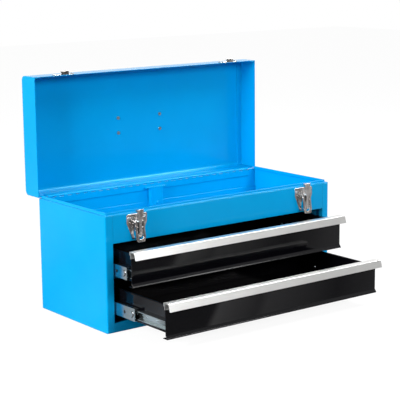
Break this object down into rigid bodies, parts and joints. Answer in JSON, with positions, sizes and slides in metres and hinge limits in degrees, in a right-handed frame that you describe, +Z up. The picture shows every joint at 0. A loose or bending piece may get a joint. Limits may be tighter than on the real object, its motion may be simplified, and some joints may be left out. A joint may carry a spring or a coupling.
{
  "type": "portable tool box with drawers",
  "caption": "Portable steel tool box with a hinged lid over an open till and drawers on ball slides, each with a full-width pull, held shut by draw latches.",
  "frame": {"origin": "middle of the case's underside, on the surface that the box stands on", "axes": "+X to the right along the width, +Y to the back, +Z up; the drawers open towards -Y"},
  "size_m": [0.508, 0.4405, 0.4298],
  "materials": {
    "blue_enamel": "gloss enamel",
    "black_enamel": "gloss enamel",
    "satin_aluminium": "satin anodised",
    "zinc_steel": "bright zinc plate",
    "bearing_steel": "polished",
    "rivet_steel": "plain",
    "chrome_plate": "bright plate",
    "black_plastic": "moulded",
    "black_grip": "moulded grip"
  },
  "bodies": {
    "case": {"case_wrap": "blue_enamel", "bottom_plate": "blue_enamel", "front_sill": "blue_enamel", "front_header": "blue_enamel", "rim_frame": "blue_enamel", "till_floor": "blue_enamel", "slide_posts": "blue_enamel", "back_channel": "blue_enamel", "back_channel_screw": "blue_enamel", "case_hinge_leaf": "blue_enamel", "hinge_pin": "rivet_steel", "left_latch_plate": "chrome_plate", "right_latch_plate": "chrome_plate", "latch_pivot_pins": "rivet_steel", "latch_rivets": "rivet_steel", "upper_left_case_rail": "zinc_steel", "upper_right_case_rail": "zinc_steel", "lower_left_case_rail": "zinc_steel", "lower_right_case_rail": "zinc_steel"},
    "lid": {"lid_wrap": "blue_enamel", "lid_left_cap": "blue_enamel", "lid_right_cap": "blue_enamel", "lid_hinge_leaf": "blue_enamel", "left_strike": "chrome_plate", "right_strike": "chrome_plate", "strike_rivets": "rivet_steel", "handle_brackets": "chrome_plate", "handle_rivets": "rivet_steel"},
    "handle": {"handle_bail": "chrome_plate", "handle_grip": "black_grip"},
    "upper_runners": {"upper_left_middle_rail": "zinc_steel", "upper_right_middle_rail": "zinc_steel"},
    "upper_drawer": {"upper_drawer_tray": "black_enamel", "upper_drawer_front": "black_enamel", "upper_drawer_pull": "satin_aluminium", "upper_drawer_rivets": "rivet_steel", "upper_left_drawer_rail": "zinc_steel", "upper_right_drawer_rail": "zinc_steel"},
    "upper_outer_bearings": {"upper_outer_cages": "black_plastic", "upper_outer_balls": "bearing_steel"},
    "upper_inner_bearings": {"upper_inner_cages": "black_plastic", "upper_inner_balls": "bearing_steel"},
    "lower_runners": {"lower_left_middle_rail": "zinc_steel", "lower_right_middle_rail": "zinc_steel"},
    "lower_drawer": {"lower_drawer_tray": "black_enamel", "lower_drawer_front": "black_enamel", "lower_drawer_pull": "satin_aluminium", "lower_drawer_rivets": "rivet_steel", "lower_left_drawer_rail": "zinc_steel", "lower_right_drawer_rail": "zinc_steel"},
    "lower_outer_bearings": {"lower_outer_cages": "black_plastic", "lower_outer_balls": "bearing_steel"},
    "lower_inner_bearings": {"lower_inner_cages": "black_plastic", "lower_inner_balls": "bearing_steel"},
    "left_lever": {"left_latch_lever": "chrome_plate", "left_claw_pin": "rivet_steel"},
    "left_claw": {"left_latch_claw": "chrome_plate"},
    "right_lever": {"right_latch_lever": "chrome_plate", "right_claw_pin": "rivet_steel"},
    "right_claw": {"right_latch_claw": "chrome_plate"}
  },
  "joints": [
    {"name": "lid_hinge", "type": "hinge", "parent": "case", "child": "lid", "pos_m": [0, 0.109, 0.2048], "axis": [1, 0, 0], "range_deg": [0, 90]},
    {"name": "handle_fold", "type": "hinge", "parent": "lid", "child": "handle", "pos_m": [0, 0.1624, 0.3138], "axis": [1, 0, 0], "range_deg": [0, 180]},
    {"name": "upper_runner_slide", "type": "slide", "parent": "case", "child": "upper_runners", "axis": [0, -1, 0], "range_m": [-0.0475, 0.0475]},
    {"name": "upper_drawer_slide", "type": "slide", "parent": "upper_runners", "child": "upper_drawer", "axis": [0, -1, 0], "range_m": [-0.008, 0.087]},
    {"name": "upper_outer_bearing_roll", "type": "slide", "parent": "case", "child": "upper_outer_bearings", "axis": [0, -1, 0], "range_m": [-0.02375, 0.02375]},
    {"name": "upper_inner_bearing_roll", "type": "slide", "parent": "upper_runners", "child": "upper_inner_bearings", "axis": [0, -1, 0], "range_m": [-0.004, 0.0435]},
    {"name": "lower_runner_slide", "type": "slide", "parent": "case", "child": "lower_runners", "axis": [0, -1, 0], "range_m": [-0.0685, 0.0265]},
    {"name": "lower_drawer_slide", "type": "slide", "parent": "lower_runners", "child": "lower_drawer", "axis": [0, -1, 0], "range_m": [-0.0822, 0.0128]},
    {"name": "lower_outer_bearing_roll", "type": "slide", "parent": "case", "child": "lower_outer_bearings", "axis": [0, -1, 0], "range_m": [-0.03425, 0.01325]},
    {"name": "lower_inner_bearing_roll", "type": "slide", "parent": "lower_runners", "child": "lower_inner_bearings", "axis": [0, -1, 0], "range_m": [-0.0411, 0.0064]},
    {"name": "left_lever_pivot", "type": "hinge", "parent": "case", "child": "left_lever", "pos_m": [-0.19, -0.114, 0.188], "axis": [-1, 0, 0], "range_deg": [-8.5, 75]},
    {"name": "left_claw_pivot", "type": "hinge", "parent": "left_lever", "child": "left_claw", "pos_m": [-0.19, -0.11656, 0.16412], "axis": [1, 0, 0], "range_deg": [-8.5, 75]},
    {"name": "right_lever_pivot", "type": "hinge", "parent": "case", "child": "right_lever", "pos_m": [0.19, -0.114, 0.188], "axis": [-1, 0, 0], "range_deg": [-8.5, 75]},
    {"name": "right_claw_pivot", "type": "hinge", "parent": "right_lever", "child": "right_claw", "pos_m": [0.19, -0.11656, 0.16412], "axis": [1, 0, 0], "range_deg": [-8.5, 75]}
  ],
  "couplings": [
    {"joint": "upper_outer_bearing_roll", "follows": "upper_runner_slide", "ratio": 0.5},
    {"joint": "upper_inner_bearing_roll", "follows": "upper_drawer_slide", "ratio": 0.5},
    {"joint": "lower_outer_bearing_roll", "follows": "lower_runner_slide", "ratio": 0.5},
    {"joint": "lower_inner_bearing_roll", "follows": "lower_drawer_slide", "ratio": 0.5},
    {"joint": "left_claw_pivot", "follows": "left_lever_pivot", "ratio": 1},
    {"joint": "right_claw_pivot", "follows": "right_lever_pivot", "ratio": 1}
  ]
}
